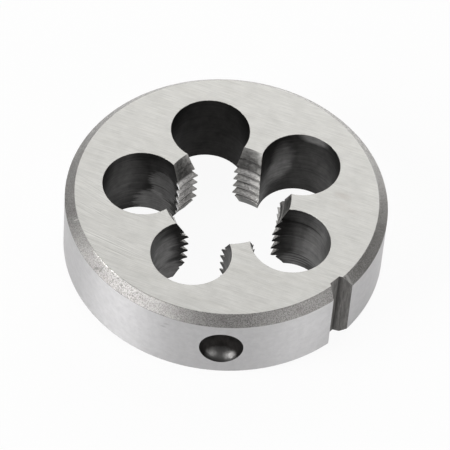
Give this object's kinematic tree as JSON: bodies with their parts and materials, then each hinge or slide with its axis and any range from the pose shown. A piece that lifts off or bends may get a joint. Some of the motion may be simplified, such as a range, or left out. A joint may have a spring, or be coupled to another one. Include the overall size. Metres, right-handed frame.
{
  "type": "round threading die",
  "caption": "Round threading die: a steel disc with a threaded bore, chip holes round it, a rim notch and screw dimples, for cutting screw threads on a rod.",
  "frame": {"origin": "on the thread's axis, in the plane of the back face, which the die rests on", "axes": "+Z along the thread's axis from the back face to the front face; +X out through the middle of the adjusting notch in the rim"},
  "size_m": [0.0379, 0.038, 0.01],
  "materials": {
    "tool_steel": "hardened tool steel: ground faces and rim, rough turned rim chamfers, dark drilled chip holes, milled notch"
  },
  "bodies": {
    "root": {"threading_die": "tool_steel"}
  },
  "joints": []
}
